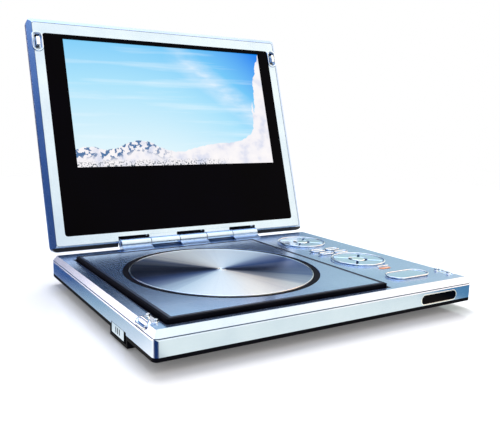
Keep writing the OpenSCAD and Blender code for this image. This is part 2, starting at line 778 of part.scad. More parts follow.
module screen_mask() {
  color([0.01, 0.01, 0.015]) on_screen() difference() {
    translate([0, edge_y + 9 + mask_h / 2, 0]) slab(mask_w, mask_h, 2, face_z - 1.6, face_z - 0.3);
    translate([lcd_x - lcd_w / 2, lcd_y - lcd_h / 2, face_z - 2]) cube([lcd_w, lcd_h, 3]);
  }
}

module lcd_panel() {
  z = face_z - 1.6;
  color([0.3, 0.5, 0.75]) on_screen() translate([lcd_x, lcd_y, 0]) {
    translate([-lcd_w / 2 - 1, -lcd_h / 2 - 1, z - 0.9]) cube([lcd_w + 2, lcd_h + 1.9, 0.9]);
    translate([-lcd_w / 2 - 4, -lcd_h / 2 - 6, z - 2.7]) cube([lcd_w + 8, lcd_h + 10, 1.8]);
  }
}

module backlight_tray() {
  z = face_z - 4.3;
  color([0.85, 0.86, 0.88]) on_screen() translate([lcd_x, lcd_y, 0])
    translate([-lcd_w / 2 - 4, -lcd_h / 2 - 10, z - 1.8]) difference() {
      cube([lcd_w + 8, lcd_h + 14, 1.8]);
      translate([1, 1, 1]) cube([lcd_w + 6, 3, 1]);
    }
}

module backlight_lamp() {
  color([0.95, 0.95, 0.9]) on_screen() rod_x(0.4, lcd_x - lcd_w / 2 + 2, lcd_x + lcd_w / 2 - 2,
    lcd_y - lcd_h / 2 - 7.5, face_z - 4.7);
}

module screen_board() {
  z = face_z - 5.2;
  color(board_green) on_screen() {
    block([-64, 64], [10, 38], [z, z + 1]);
    for (x = [-50, -16, 24]) block([x, x + 14], [16, 28], [z + 1, z + 2.4]);
    block([44, 60], [13, 19], [z + 1, z + 3]);
  }
}

module screen_catch(i) {
  color(silver) on_screen() translate([i * catch_x, catch_y, 0]) {
    block([-1.1, 1.1], [-3, 2.4], [split_z + 0.9, face_z + 1.8]);
    block([-2.4, 2.4], [-3.4, 3], [split_z + 0.2, split_z + 0.9]);
  }
}
module screen_catch_left() { screen_catch(-1); }
module screen_catch_right() { screen_catch(1); }

base_top_cover();
base_bottom_cover();
rubber_feet();
base_screws();
ir_window();
catch_keepers();
indicator_lens();
disc_well();
mech_chassis();
guide_rods();
spindle_motor();
sled_motor();
main_board();
key_board();
battery_pack();
speakers();
headphone_jacks();
av_jack();
dc_inlet();
disc_lid_pins();
hinge_base_knuckles();
hinge_pin();
power_slider();
volume_dial();
lid_catch();
disc_lid_frame();
disc_lid_plate();
disc_lid_insert();
turntable();
chuck_balls();
spindle_shaft();
lead_screw();
pickup_sled();
pickup_lens();
nav_right();
nav_up();
nav_left();
nav_down();
nav_ok();
play_next();
play_pause();
play_back();
play_stop();
play_mode();
setup_key();
display_key();
menu_key();
audio_key();
open_key();
hinge_lid_knuckles();
screen_bezel();
screen_back_cover();
screen_screws();
screen_mask();
lcd_panel();
backlight_tray();
backlight_lamp();
screen_board();
screen_catch_left();
screen_catch_right();
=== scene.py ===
import bmesh
import bpy
import json
import math
from mathutils import Matrix, Vector


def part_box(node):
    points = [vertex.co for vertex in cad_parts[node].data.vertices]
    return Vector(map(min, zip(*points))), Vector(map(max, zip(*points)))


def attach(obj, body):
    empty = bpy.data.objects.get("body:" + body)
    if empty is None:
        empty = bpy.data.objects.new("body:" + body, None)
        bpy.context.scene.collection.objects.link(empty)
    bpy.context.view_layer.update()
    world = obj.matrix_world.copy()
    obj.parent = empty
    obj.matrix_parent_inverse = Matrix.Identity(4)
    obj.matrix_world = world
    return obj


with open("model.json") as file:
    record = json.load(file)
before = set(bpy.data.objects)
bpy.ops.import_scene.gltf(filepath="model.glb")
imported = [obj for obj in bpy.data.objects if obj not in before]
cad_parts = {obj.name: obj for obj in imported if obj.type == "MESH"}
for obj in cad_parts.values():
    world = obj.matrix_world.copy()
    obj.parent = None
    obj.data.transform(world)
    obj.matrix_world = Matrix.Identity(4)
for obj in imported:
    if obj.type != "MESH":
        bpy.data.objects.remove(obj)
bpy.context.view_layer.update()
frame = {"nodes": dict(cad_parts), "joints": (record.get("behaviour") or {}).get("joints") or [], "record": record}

MM = 0.001
NODES = frame["nodes"]
slots = {s["node"]: s["material_slot"] for s in frame["record"]["subparts"]}
JOINTS = {j["name"]: j for j in frame["joints"]}


# ---------- places, from the imported model and given numbers ---

def middle(node):
    """A node's middle, and its lowest and highest corners."""
    lo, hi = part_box(node)
    return (lo + hi) / 2, lo, hi


top_lo, top_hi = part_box("base_top_cover")
BASE_Y = (top_lo.y + top_hi.y) / 2
disc_lo, disc_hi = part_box("disc_lid_insert")
DISC = Vector(((disc_lo.x + disc_hi.x) / 2, (disc_lo.y + disc_hi.y) / 2, disc_hi.z))
DISC_RADIUS = (disc_hi.x - disc_lo.x) / 2
plate_lo, plate_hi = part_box("disc_lid_plate")
PLATE_HALF = (plate_hi.x - plate_lo.x) / 2
frame_lo, frame_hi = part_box("disc_lid_frame")
BAY_HALF = (frame_hi.x - frame_lo.x) / 2 + 0.8 * MM
barrel_lo, barrel_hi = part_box("hinge_base_knuckles")
KNUCKLE = (barrel_hi.x - barrel_lo.x) / 5

HINGE = Vector(JOINTS["screen_hinge"]["pos_m"])
SLIDE = Vector(JOINTS["left_catch_slide"]["axis"]).normalized()
ACROSS, BEHIND, ABOVE = Vector((1, 0, 0)), Vector((0, 1, 0)), Vector((0, 0, 1))
UP = Vector((0, SLIDE.y, SLIDE.z))            # up the screen lid
OUT = Vector((0, -SLIDE.z, SLIDE.y))          # out of its front

# on the screen lid, in millimetres from the hinge axis
LID_FACE = -0.5                               # height of its front face
LID_MID, LID_HALF = 74.65, 75.8               # its middle and half its length, up the lid
PICTURE_MIDDLE = (2.4, 94.75, -2.1)
PICTURE_SIZE = (153.2, 86.1)


def lid_point(u, v, w):
    """A place on the screen lid, in millimetres from the hinge axis: across, up, out."""
    return HINGE + ACROSS * u * MM + UP * v * MM + OUT * w * MM


# ---------- camera, floor, light and what the metal mirrors ----------

CAMERA_TURN = (29.667, 10.406, 1.022)         # degrees: round to the left, above level, roll
CAMERA_AIM = Vector((2.33, 28.73, 31.17)) * MM
CAMERA_DISTANCE = 394.28 * MM
CAMERA_LENS, CAMERA_SHIFT = 42.98, (0.0818, 0.0309)

LAMP_PLACE, LAMP_AIM = (0.25, 0.55, 0.95), (0, -0.05, 0)
LAMP_SIDE, LAMP_WATTS, LAMP_COLOUR = 0.8, 17, (1, 0.99, 0.98)

SKY = (0.60, 0.61, 0.63)
# height above the horizon (0.29 is level) and colour of the room
ROOM = [(0.0, (0.01, 0.03, 0.10)), (0.29, (0.004, 0.02, 0.08)), (0.42, (0.01, 0.05, 0.17)),
        (0.62, (0.03, 0.11, 0.36)), (0.84, (0.85, 1.15, 1.6)), (1.0, (2.2, 2.4, 2.7))]
# soft panels: azimuth clockwise from straight behind, elevation, full and fading radius, colour
PANELS = [(-34, 8, 7, 14, (3.4, 2.7, 2.3)), (38, 42, 6, 20, (1.7, 1.5, 1.25)),
          (75, 14, 16, 32, (1.25, 1.2, 1.1)), (46, 14, 3, 12, (0.60, 0.78, 0.76)),
          (110, 30, 14, 26, (2.9, 2.1, 1.5)), (158, 55, 8, 20, (0.95, 0.92, 1.1)),
          (150, 28, 19, 28, (1.72, 1.55, 1.20)), (130, 64, 8, 20, (2.2, 2.0, 1.8)),
          (-52, 32, 10, 24, (1.2, 1.2, 1.2)), (-152, 22, 12, 24, (1.0, 1.0, 1.0)),
          (175, 12, 6, 20, (1.0, 1.0, 0.95))]

FLOOR_RADIUS = 1.5
FLOOR_FADE = (0.26, 0.75)                     # where the floor starts and ends to fade out
# the floor as the metal mirrors it: place along BOARD_REACH, and colour
BOARD_REACH = (-0.25, 0.25)
FLOOR_BEHIND = (1.1, 1.08, 1.0)
FLOOR_BEFORE = [(0.312, (0.01, 0.04, 0.14)), (0.335, (1.42, 1.32, 1.04)),
                (0.69, (1.42, 1.32, 1.04)), (0.72, (0.15, 0.36, 0.50)),
                (1.0, (0.06, 0.18, 0.34))]
FLOOR_BESIDE = [(0.285, (0.01, 0.04, 0.14)), (0.31, (2.1, 1.8, 1.5)), (0.38, (1.1, 1.1, 1.0)),
                (0.49, (0.42, 0.58, 0.62)), (0.62, (0.03, 0.09, 0.24)),
                (0.80, (0.03, 0.10, 0.28)), (1.0, (0.06, 0.15, 0.34))]
BEHIND_STARTS, BEHIND_FULL = -0.108, -0.090   # along y
BESIDE_WIDTH = 8 * MM                         # the change of board left of the base


def link(obj):
    bpy.context.scene.collection.objects.link(obj)
    return obj


def make_camera():
    azimuth, elevation, roll = (math.radians(a) for a in CAMERA_TURN)
    back = Vector((-math.sin(azimuth) * math.cos(elevation),
                   -math.cos(azimuth) * math.cos(elevation), math.sin(elevation)))
    right = (-back).cross(ABOVE).normalized()
    up = right.cross(-back)
    x = right * math.cos(roll) + up * math.sin(roll)
    y = up * math.cos(roll) - right * math.sin(roll)
    data = bpy.data.cameras.new("photo_camera")
    data.sensor_width, data.lens = 36, CAMERA_LENS
    data.shift_x, data.shift_y = CAMERA_SHIFT
    data.clip_start, data.clip_end = 0.01, 20
    camera = link(bpy.data.objects.new("photo_camera", data))
    turn = Matrix((x, y, back)).transposed().to_4x4()
    turn.translation = CAMERA_AIM + back * CAMERA_DISTANCE
    camera.matrix_world = turn
    bpy.context.scene.camera = camera


def make_lamp():
    data = bpy.data.lights.new("key", "AREA")
    data.shape, data.size, data.size_y = "RECTANGLE", LAMP_SIDE, LAMP_SIDE
    data.energy, data.color = LAMP_WATTS, LAMP_COLOUR
    lamp = link(bpy.data.objects.new("key", data))
    lamp.location = LAMP_PLACE
    lamp.rotation_mode = "QUATERNION"
    lamp.rotation_quaternion = (Vector(LAMP_PLACE) - Vector(LAMP_AIM)).to_track_quat("Z", "Y")
    lamp.visible_glossy = False                # what the metal mirrors is the room alone


def make_floor():
    """A white glossy floor that fades out; metal mirrors coloured boards laid on it instead."""
    mesh = bpy.data.meshes.new("floor")
    bm = bmesh.new()
    bmesh.ops.create_circle(bm, cap_ends=True, segments=96, radius=FLOOR_RADIUS)
    bm.to_mesh(mesh)
    bm.free()
    floor = link(bpy.data.objects.new("floor", mesh))
    t = Tree("floor_white")
    t.set(Base_Color=(0.86, 0.87, 0.90), Roughness=0.10, Specular_IOR_Level=0.6,
          Emission_Color=(1, 1, 1), Emission_Strength=0.12)
    place = t.place()
    x, y, _ = t.parts(place)
    before = t.ramp(t.share(x, *BOARD_REACH), FLOOR_BEFORE)
    beside = t.ramp(t.share(y, *BOARD_REACH), FLOOR_BESIDE)
    before = t.mix(t.share(y, BEHIND_STARTS, BEHIND_FULL), before, FLOOR_BEHIND)
    board = t.put("Emission")
    t.join(t.mix(t.share(x, top_lo.x, top_lo.x - BESIDE_WIDTH), before, beside),
           board.inputs[0])
    mirrored = t.blend(t.put("LightPath").outputs["Is Glossy Ray"],
                       t.shader.outputs[0], board.outputs[0])
    away = t.put("VectorMath", operation="LENGTH")
    t.join(place, away.inputs[0])
    faded = t.blend(t.share(away.outputs["Value"], *FLOOR_FADE),
                    mirrored, t.put("BsdfTransparent").outputs[0])
    t.join(faded, t.tree.nodes["Material Output"].inputs["Surface"])
    mesh.materials.append(t.material)


def make_world():
    """White to the eye; what the object mirrors is a dim blue room with soft white panels."""
    world = bpy.data.worlds.new("studio")
    bpy.context.scene.world = world
    world.use_nodes = True
    world.node_tree.nodes.clear()
    t = Tree(None, world.node_tree)
    direction = t.put("TexCoord").outputs["Generated"]
    room = t.ramp(t.share(t.parts(direction)[2], -0.4, 1.0), ROOM)
    for azimuth, elevation, inner, outer, colour in PANELS:
        a, e = math.radians(azimuth), math.radians(elevation)
        axis = (math.sin(a) * math.cos(e), math.cos(a) * math.cos(e), math.sin(e))
        share = t.share(t.dot(direction, axis), math.cos(math.radians(outer)),
                        math.cos(math.radians(inner)))
        share.node.interpolation_type = "SMOOTHSTEP"
        room = t.mix(share, room, colour)
    path = t.put("LightPath")
    room = t.mix(path.outputs["Is Diffuse Ray"], room, SKY)
    mirrored, seen = t.put("Background"), t.put("Background")
    t.join(room, mirrored.inputs[0])
    seen.inputs[0].default_value = (1, 1, 1, 1)
    t.join(t.blend(path.outputs["Is Camera Ray"], mirrored.outputs[0], seen.outputs[0]),
           t.put("OutputWorld").inputs[0])


def make_stage():
    make_floor()
    make_world()
    make_lamp()
    bpy.context.scene.view_settings.view_transform = "Standard"


# ---------- materials ----------

class Tree:
    """Short hand for the nodes of a material, or of the world."""

    def __init__(self, name, tree=None):
        if tree is None:
            self.material = bpy.data.materials.new(name)
            self.material.use_nodes = True
            tree = self.material.node_tree
            self.shader = tree.nodes["Principled BSDF"]
        self.tree = tree

    def put(self, kind, **values):
        n = self.tree.nodes.new("ShaderNode" + kind)
        for k, v in values.items():
            if hasattr(n, k):
                setattr(n, k, v)
            else:
                n.inputs[k.replace("_", " ")].default_value = v
        return n

    def join(self, a, b):
        self.tree.links.new(a, b)

    def place(self):
        return self.put("TexCoord").outputs["Object"]

    def parts(self, vector):
        n = self.put("SeparateXYZ")
        self.join(vector, n.inputs[0])
        return n.outputs[0], n.outputs[1], n.outputs[2]

    def whole(self, x, y):
        n = self.put("CombineXYZ")
        self.join(x, n.inputs[0])
        self.join(y, n.inputs[1])
        return n.outputs[0]

    def noise(self, scale, detail=2, vector=None):
        n = self.put("TexNoise", Scale=scale, Detail=detail)
        self.join(vector or self.place(), n.inputs["Vector"])
        return n.outputs["Fac"]

    def math(self, op, a, b=0.0, clamp=False):
        n = self.put("Math", operation=op, use_clamp=clamp)
        for socket, v in zip(n.inputs, (a, b)):
            if isinstance(v, (int, float)):
                socket.default_value = v
            else:
                self.join(v, socket)
        return n.outputs[0]

    def plus(self, a, b, clamp=False):
        return self.math("ADD", a, b, clamp)

    def minus(self, a, b, clamp=False):
        return self.math("SUBTRACT", a, b, clamp)

    def times(self, a, b, clamp=False):
        return self.math("MULTIPLY", a, b, clamp)

    def dot(self, vector, axis):
        n = self.put("VectorMath", operation="DOT_PRODUCT")
        self.join(vector, n.inputs[0])
        n.inputs[1].default_value = axis
        return n.outputs["Value"]

    def ramp(self, fac, stops):
        n = self.put("ValToRGB")
        while len(n.color_ramp.elements) < len(stops):
            n.color_ramp.elements.new(0.5)
        for e, (at, c) in zip(n.color_ramp.elements, stops):
            e.position, e.color = at, (*c, 1)
        self.join(fac, n.inputs[0])
        return n.outputs[0]

    def mix(self, fac, a, b):
        n = self.put("Mix", data_type="RGBA")
        for socket, v in ((n.inputs[0], fac), (n.inputs[6], a), (n.inputs[7], b)):
            if isinstance(v, tuple):
                socket.default_value = (*v, 1)
            else:
                self.join(v, socket)
        return n.outputs[2]

    def blend(self, fac, a, b):
        """Two shaders mixed."""
        n = self.put("MixShader")
        for socket, v in zip(n.inputs, (fac, a, b)):
            self.join(v, socket)
        return n.outputs[0]

    def spread(self, share, lo, hi):
        """0 to 1 laid out from lo to hi."""
        n = self.put("MapRange", To_Min=lo, To_Max=hi)
        self.join(share, n.inputs["Value"])
        return n.outputs[0]

    def share(self, value, lo, hi):
        """How far a value is from lo to hi, held between 0 and 1."""
        n = self.put("MapRange", From_Min=lo, From_Max=hi)
        self.join(value, n.inputs["Value"])
        return n.outputs[0]

    def bump(self, height, strength, distance):
        n = self.put("Bump", Strength=strength, Distance=distance)
        self.join(height, n.inputs["Height"])
        self.join(n.outputs[0], self.shader.inputs["Normal"])
        return self

    def set(self, **values):
        for k, v in values.items():
            socket = self.shader.inputs[k.replace("_", " ")]
            if isinstance(v, tuple):
                socket.default_value = (*v, 1)
            elif isinstance(v, (int, float)):
                socket.default_value = v
            else:
                self.join(v, socket)


FLAKE_BUMP, GRAIN_BUMP, GLOSS_BUMP = 0.02 * MM, 0.03 * MM, 0.01 * MM
SILVER_LOW, SILVER_HIGH = (0.41, 0.54, 0.76), (0.57, 0.70, 0.91)


def paint(name, low, high, rough=(0.20, 0.27), coat=0.2, painted_shade=None):
    """Satin metallic paint: fine flakes, a soft unevenness and a clear coat."""
    t = Tree(name)
    flake = t.noise(9000, 0)
    cloud = t.noise(45, 3)
    tone = t.plus(t.times(flake, 0.55), t.times(cloud, 0.45))
    colour = t.ramp(tone, [(0.3, low), (0.7, high)])
    roughness, metallic = t.spread(t.noise(160, 4), *rough), 1.0
    if painted_shade:                                 # painted shade: black, matt and not metal
        share = painted_shade(t)
        colour = t.mix(share, colour, (0.001, 0.001, 0.003))
        roughness = t.plus(roughness, t.times(share, 0.35))
        metallic = t.minus(1.0, share)
    t.set(Base_Color=colour, Metallic=metallic, Roughness=roughness, Coat_Weight=coat,
          Coat_Roughness=0.06, Sheen_Weight=0.28, Sheen_Roughness=0.35,
          Sheen_Tint=(0.05, 0.28, 1.0))
    return t.bump(flake, 0.05, FLAKE_BUMP).material


def square_distance(t):
    """How far from the disc lid's middle, as a square."""
    x, y, _ = t.parts(t.place())
    return t.math("MAXIMUM", t.math("ABSOLUTE", t.minus(x, DISC.x)),
                  t.math("ABSOLUTE", t.minus(y, DISC.y)))


def plate_edge_shade(t):
    """Painted shade: a black line along the edge of the disc lid's plate, where its gap falls dark."""
    return t.math("GREATER_THAN", square_distance(t), PLATE_HALF - 1.5 * MM)


def bay_gap_shade(t):
    """Painted shade: a black band on the deck round the bay of the disc lid, where the gap falls dark."""
    return t.math("LESS_THAN", square_distance(t), BAY_HALF + 0.7 * MM)


def lid_foot_shade(t):
    """Painted shade: the screen lid's lowest edge is painted black, where it falls dark above the base."""
    return t.math("LESS_THAN", t.dot(t.place(), UP), HINGE.dot(UP) + 1.1 * MM)


def plastic(name, colour, rough=0.5, grain=0.25, scale=3500, coat=0.0, specular=0.5):
    """Moulded plastic with a fine spark-eroded grain."""
    t = Tree(name)
    grain_noise = t.noise(scale, 3)
    worn = t.noise(60, 4)
    darker = tuple(c * 0.8 for c in colour)
    lighter = tuple(min(1, c * 1.15 + 0.002) for c in colour)
    t.set(Base_Color=t.ramp(worn, [(0.3, darker), (0.7, lighter)]),
          Roughness=t.spread(worn, rough - 0.06, rough + 0.06), Coat_Weight=coat,
          Coat_Roughness=0.05, Specular_IOR_Level=specular)
    return t.bump(grain_noise, grain, GRAIN_BUMP).material


def metal(name, colour, rough=0.25, stretch=(1, 1, 1), scale=2500, bump=0.1):
    """Bare metal with tool marks along one direction."""
    t = Tree(name)
    stretched = t.put("Mapping", Scale=stretch)
    t.join(t.place(), stretched.inputs["Vector"])
    marks = t.noise(scale, 2, stretched.outputs[0])
    t.set(Base_Color=t.ramp(marks, [(0.2, tuple(c * 0.86 for c in colour)), (0.8, colour)]),
          Metallic=1.0, Roughness=t.spread(marks, rough * 0.75, rough * 1.25))
    return t.bump(marks, bump, FLAKE_BUMP).material


def brushed_insert():
    """Metal brushed round its middle, with fine grooves and two dark wedges of painted reflection."""
    t = Tree("brushed_disc")
    away = t.put("VectorMath", operation="SUBTRACT")
    t.join(t.place(), away.inputs[0])
    away.inputs[1].default_value = DISC
    x, y, _ = t.parts(away.outputs[0])
    radius = t.math("SQRT", t.plus(t.math("POWER", x, 2.0), t.math("POWER", y, 2.0)))
    turn = t.math("ARCTAN2", y, x)
    groove = t.noise(14000, 3, t.whole(radius, t.times(turn, 0.0012)))
    streaks = t.put("TexNoise", Scale=3.4, Detail=5, noise_dimensions="1D")
    t.join(turn, streaks.inputs["W"])
    # painted reflection: two navy wedges across one axis, in streaks, stand in for the brushing mirroring less
    # light there
    streak = t.minus(streaks.outputs["Fac"], 0.5)
    bent = t.plus(t.plus(turn, 0.28), t.times(streak, 0.5))
    across = t.share(t.math("ABSOLUTE", t.math("COSINE", bent)), 0.66, 0.93)
    dark = t.plus(t.times(across, 0.95), t.times(streak, 0.5), clamp=True)
    bright = t.ramp(groove, [(0.25, (0.76, 0.82, 0.88)), (0.75, (0.92, 0.96, 0.98))])
    t.set(Base_Color=t.mix(dark, bright, (0.035, 0.11, 0.38)), Metallic=1.0,
          Roughness=t.spread(groove, 0.26, 0.36), Anisotropic=0.92, Anisotropic_Rotation=0.25,
          Tangent=t.put("Tangent", direction_type="RADIAL", axis="Z").outputs[0])
    return t.bump(groove, 0.12, FLAKE_BUMP).material


def gloss_black():
    t = Tree("gloss_black")
    haze = t.noise(25, 3)
    t.set(Base_Color=t.ramp(haze, [(0.3, (0.0003, 0.0002, 0.0012)),
                                   (0.7, (0.0006, 0.0004, 0.0025))]),
          Roughness=t.spread(haze, 0.05, 0.09), Specular_IOR_Level=0.02)
    return t.bump(t.noise(900, 1), 0.01, GLOSS_BUMP).material


# outline of the hills, as shares of the picture's width and height
HILLS = [(0, 0.14), (0.07, 0.165), (0.13, 0.14), (0.20, 0.16), (0.27, 0.205), (0.34, 0.20),
         (0.40, 0.15), (0.48, 0.115), (0.58, 0.15), (0.70, 0.185), (0.80, 0.195),
         (0.87, 0.24), (0.915, 0.32), (0.925, 0.56), (0.93, 0.46), (0.945, 0.68),
         (0.965, 0.84), (1.0, 1.0)]


def picture_sky(t, u, v, noise):
    """Pale at the horizon and left, azure at the top right, with wisps and one broad cloud."""
    deep = t.plus(t.times(v, 0.62), t.times(t.math("POWER", u, 3.0), 0.42))
    sky = t.ramp(deep, [(0.10, (0.72, 0.90, 0.97)), (0.42, (0.40, 0.76, 0.96)),
                        (0.68, (0.16, 0.57, 0.93)), (1.0, (0.0, 0.22, 0.86))])
    wisp = t.share(noise(2.2, 5, (0.6, 5.0, 1), (0.2, 0.1, 0), 0.10), 0.52, 0.74)
    sky = t.mix(t.times(wisp, 0.55), sky, (0.85, 0.95, 1.0))
    # the cloud falls from the top middle to the right
    along = t.plus(t.times(u, 0.72), t.times(v, 0.55))
    off = t.math("ABSOLUTE", t.minus(along, 0.90))
    cloud = t.minus(1.0, t.times(off, 11.0), clamp=True)
    cloud = t.times(cloud, t.share(u, 0.46, 0.60))
    cloud = t.times(cloud, t.share(noise(5, 5, (1.5, 2.5, 1)), 0.25, 0.75))
    return t.mix(t.times(cloud, 0.85), sky, (0.90, 0.95, 1.0))


def picture_hills(t, u, v, noise):
    """Snow below one ragged line, with rocks along its left and trees at its foot."""
    line = t.put("FloatCurve")
    curve = line.mapping.curves[0]
    curve.points[0].location, curve.points[-1].location = HILLS[0], HILLS[-1]
    for place in HILLS[1:-1]:
        curve.points.new(*place)
    line.mapping.update()
    t.join(t.plus(u, t.times(t.minus(noise(14, 5, shift=(3, 1, 0)), 0.5), 0.035)),
           line.inputs["Value"])
    edge = t.plus(line.outputs[0], t.times(t.minus(noise(22, 6), 0.5), 0.035))
    below = t.minus(edge, v)
    snow = t.ramp(noise(9, 6, shift=(5, 0, 0)), [(0.30, (0.66, 0.70, 0.85)),
                                                 (0.48, (0.90, 0.88, 0.92)),
                                                 (0.66, (0.96, 0.93, 0.94))])
    rock = t.math("GREATER_THAN", noise(26, 8, shift=(1, 7, 0)), 0.53)
    left = t.minus(1.0, t.share(u, 0.36, 0.46))
    ridge = t.minus(1.0, t.times(t.math("ABSOLUTE", t.minus(below, 0.035)), 14.0), clamp=True)
    rock = t.times(rock, t.times(left, t.times(ridge, 1.6, clamp=True)))
    snow = t.mix(rock, snow, (0.07, 0.17, 0.36))
    trees = t.math("GREATER_THAN", noise(70, 3, shift=(9, 2, 0)), 0.54)
    low = t.minus(1.0, t.times(v, 17.0), clamp=True)
    near = t.minus(1.0, t.share(u, 0.60, 0.78))
    trees = t.times(trees, t.times(t.times(low, 1.5, clamp=True), near))
    return t.times(below, 160.0, clamp=True), t.mix(trees, snow, (0.10, 0.13, 0.16))


def picture():
    """The lit screen: a generic sky over snowy hills, drawn from noise and one height curve."""
    t = Tree("lcd_image")
    place = t.place()
    centre = lid_point(*PICTURE_MIDDLE)
    half_u, half_v = (s / 2 * MM for s in PICTURE_SIZE)
    up = centre.dot(UP)
    u = t.share(t.dot(place, ACROSS), centre.x - half_u, centre.x + half_u)
    v = t.share(t.dot(place, UP), up - half_v, up + half_v)
    flat = t.whole(u, v)

    def noise(scale, detail, stretch=(1.78, 1, 1), shift=(0, 0, 0), turn=0):
        m = t.put("Mapping", Scale=stretch, Location=shift, Rotation=(0, 0, turn))
        t.join(flat, m.inputs["Vector"])
        return t.noise(scale, detail, m.outputs[0])

    snowy, snow = picture_hills(t, u, v, noise)
    view = t.mix(snowy, picture_sky(t, u, v, noise), snow)
    # only the panel's front face is lit
    front = t.math("GREATER_THAN", t.dot(place, OUT), centre.dot(OUT) - 0.2 * MM)
    view = t.mix(front, (0.0, 0.0, 0.0), view)
    t.set(Base_Color=(0.004, 0.004, 0.008), Roughness=0.12, Specular_IOR_Level=0.15,
          Emission_Color=view, Emission_Strength=1.0)
    return t.material


def lens(name, colour, rough=0.08):
    """Clear coloured plastic under a hard coat."""
    t = Tree(name)
    depth = t.noise(120, 2)
    t.set(Base_Color=t.ramp(depth, [(0.3, tuple(c * 0.7 for c in colour)), (0.7, colour)]),
          Roughness=t.spread(depth, rough, rough + 0.06), Coat_Weight=0.8, Coat_Roughness=0.03)
    return t.bump(t.noise(700, 1), 0.03, FLAKE_BUMP).material


def circuit():
    """Green board with lighter tracks."""
    t = Tree("board_green")
    tracks = t.put("TexBrick", Scale=160.0, offset=0.35, Color1=(0.012, 0.13, 0.055, 1),
                   Color2=(0.016, 0.16, 0.07, 1), Mortar=(0.03, 0.26, 0.12, 1))
    t.join(t.place(), tracks.inputs["Vector"])
    t.set(Base_Color=tracks.outputs["Color"], Roughness=t.spread(t.noise(300, 3), 0.3, 0.42),
          Coat_Weight=0.3)
    return t.bump(tracks.outputs["Fac"], 0.15, GRAIN_BUMP).material


def make_materials():
    m = {}
    m["silver_paint"] = paint("silver_paint", SILVER_LOW, SILVER_HIGH)
    m["black_plastic"] = plastic("black_plastic", (0.003, 0.003, 0.006), 0.42, specular=0.012)
    m["gloss_black"] = gloss_black()
    m["brushed_disc"] = brushed_insert()
    m["steel"] = metal("steel", (0.62, 0.64, 0.67), 0.22, (1, 12, 12))
    m["chrome_key"] = metal("chrome_key", (0.86, 0.92, 0.98), 0.09, (1, 1, 1), 400, 0.03)
    m["silver_key"] = paint("silver_key", (0.52, 0.66, 0.86), (0.72, 0.84, 0.97), (0.12, 0.17), 0.5)
    m["rubber"] = plastic("rubber", (0.022, 0.022, 0.024), 0.8, 0.5, 1500, 0, 0.25)
    m["lens_orange"] = lens("lens_orange", (0.75, 0.20, 0.04))
    m["lcd_image"] = picture()
    m["board_green"] = circuit()
    m["battery_wrap"] = plastic("battery_wrap", (0.03, 0.09, 0.30), 0.25, 0.15, 500, 0.4)
    m["motor_metal"] = metal("motor_metal", (0.55, 0.57, 0.60), 0.35, (1, 1, 12))
    m["brass"] = metal("brass", (0.72, 0.52, 0.20), 0.22, (12, 1, 1))
    m["blue_lens"] = lens("blue_lens", (0.14, 0.22, 0.70))
    m["white_diffuser"] = plastic("white_diffuser", (0.78, 0.79, 0.80), 0.6, 0.1)
    m["seam_blue"] = plastic("seam_blue", (0.03, 0.07, 0.16), 0.4)
    m["dark_tray"] = plastic("dark_tray", (0.03, 0.03, 0.034), 0.38, 0.3, 2500)
    return m


# ---------- CAD nodes ----------

# too fine to be rounded
SHARP = {"base_screws", "screen_screws", "chuck_balls", "lead_screw", "backlight_lamp",
         "guide_rods", "spindle_shaft", "hinge_pin", "disc_lid_pins", "pickup_lens", "lcd_panel"}
# faces with several holes, which can't be one polygon
GROOVED = {"power_slider", "main_board"}
# width of the rounded edges, in millimetres
SOFT_EDGE = {"base_top_cover": 0.30, "screen_bezel": 0.35, "screen_back_cover": 0.9,
             "disc_lid_frame": 0.15, "disc_lid_plate": 0.08, "disc_lid_insert": 0.08,
             "hinge_base_knuckles": 0.25, "hinge_lid_knuckles": 0.25, "screen_mask": 0.15,
             "rubber_feet": 0.6, "battery_pack": 0.6, "open_key": 0.6, "power_slider": 0.15}
SOFT_SLOT = {"silver_key": 0.7, "chrome_key": 0.6}
SOFT_REST = 0.2


def finish_node(name, obj, material):
    """Give a node its material, and round its edges without touching its mesh."""
    obj.data.materials.clear()
    obj.data.materials.append(material)
    if name in SHARP:
        return
    weld = obj.modifiers.new("weld", "WELD")
    weld.merge_threshold = 0.002 * MM
    if name not in GROOVED:
        flat = obj.modifiers.new("flat", "DECIMATE")
        flat.decimate_type, flat.angle_limit = "DISSOLVE", math.radians(0.5)
    edge = obj.modifiers.new("edge", "BEVEL")
    width = SOFT_EDGE.get(name, SOFT_SLOT.get(slots[name], SOFT_REST))
    edge.width, edge.segments = width * MM, 3 if width < 0.5 else 5
    edge.limit_method, edge.angle_limit = "ANGLE", math.radians(32)
    edge.harden_normals, edge.miter_outer, edge.use_clamp_overlap = True, "MITER_ARC", True
    normals = obj.modifiers.new("normals", "WEIGHTED_NORMAL")
    normals.keep_sharp = True


# ---------- added pieces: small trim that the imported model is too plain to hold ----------

def ring_verts(bm, middle, side, up, sides):
    """One round of points; side and up give its two half widths."""
    return [bm.verts.new(middle + side * math.cos(a) + up * math.sin(a))
            for a in (2 * math.pi * k / sides for k in range(sides))]


def bridge(bm, a, b):
    """Faces between two rounds of points."""
    for k in range(len(a)):
        n = (k + 1) % len(a)
        bm.faces.new((a[k], a[n], b[n], b[k]))


def tube(bm, points, radius, squeeze=1.0, up=ABOVE, sides=10, closed=True):
    """A rounded bead along a flat run of points, closed into a ring or capped at its two ends."""
    rings = []
    for i, p in enumerate(points):
        before = points[i - 1] if closed or i else p
        after = points[(i + 1) % len(points)] if closed or i + 1 < len(points) else p
        side = (after - before).normalized().cross(up).normalized()
        rings.append(ring_verts(bm, p, side * radius, up * (radius * squeeze), sides))
    for a, b in zip(rings, rings[1:] + (rings[:1] if closed else [])):
        bridge(bm, a, b)
    if not closed:
        bm.faces.new(rings[0])
        bm.faces.new(rings[-1][::-1])


